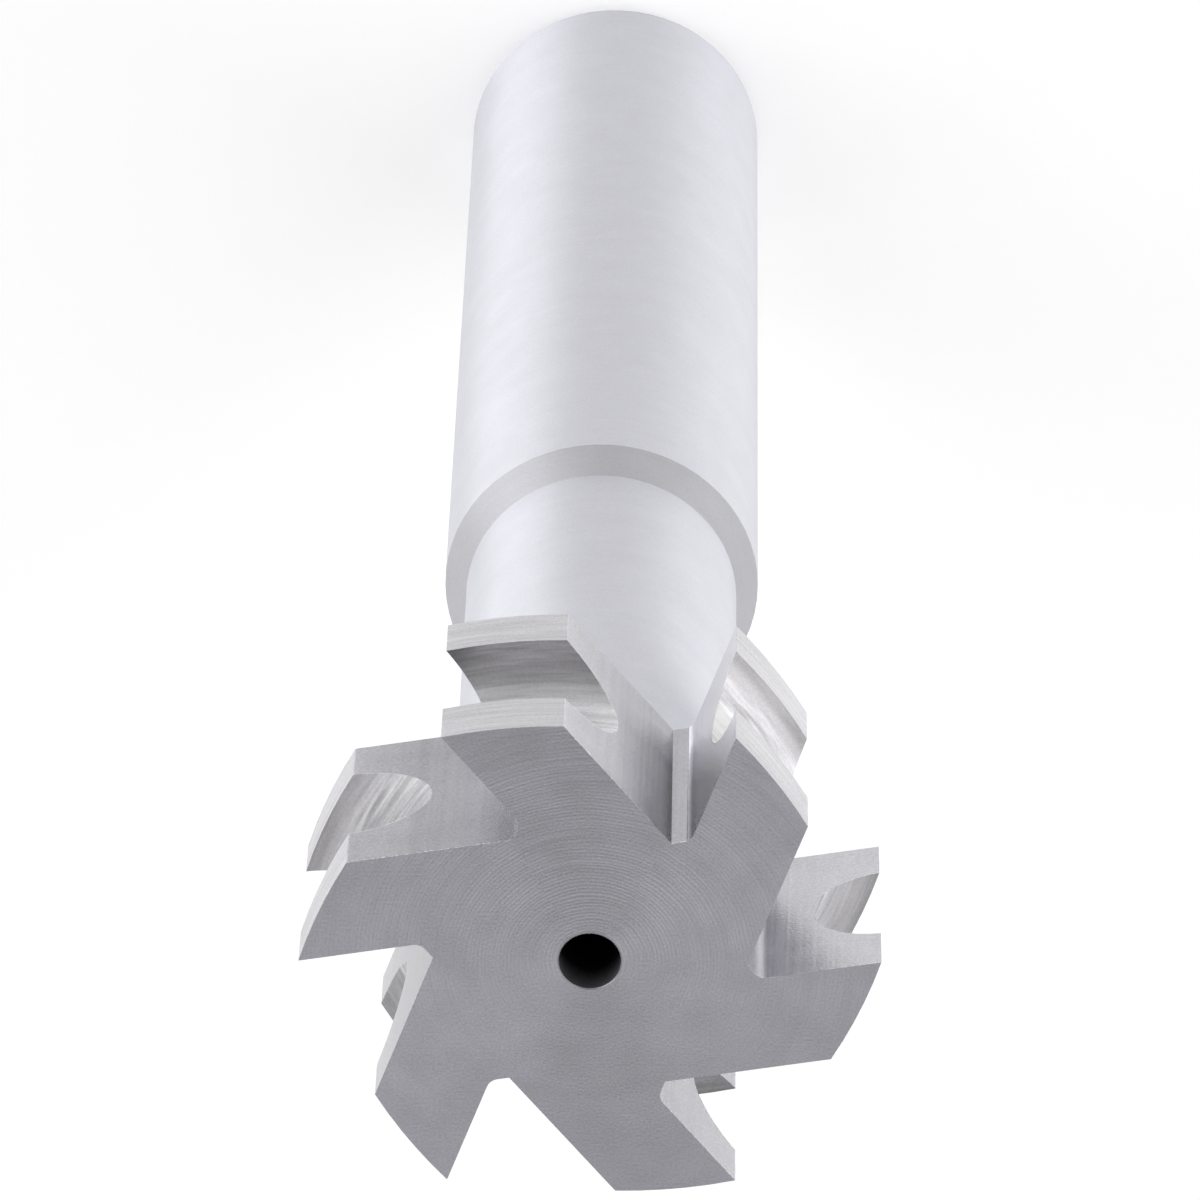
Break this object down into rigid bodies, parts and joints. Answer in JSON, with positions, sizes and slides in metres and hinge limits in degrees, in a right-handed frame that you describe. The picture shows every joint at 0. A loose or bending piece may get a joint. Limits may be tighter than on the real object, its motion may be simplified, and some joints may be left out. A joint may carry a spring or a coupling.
{
  "type": "concave milling cutter",
  "caption": "Form-relieved milling cutter on a plain round shank: a gashed head with a half-round groove in each tooth, for milling a rounded bead or edge.",
  "frame": {"origin": "centre of the shank's end face", "axes": "+Z along the cutter's axis from the shank's end to the toothed front face; +X through the first cutting edge; the teeth cut counter-clockwise seen from +Z"},
  "size_m": [0.022, 0.02, 0.0762],
  "materials": {
    "ground_steel": "satin"
  },
  "bodies": {
    "root": {"cutter": "ground_steel"}
  },
  "joints": []
}
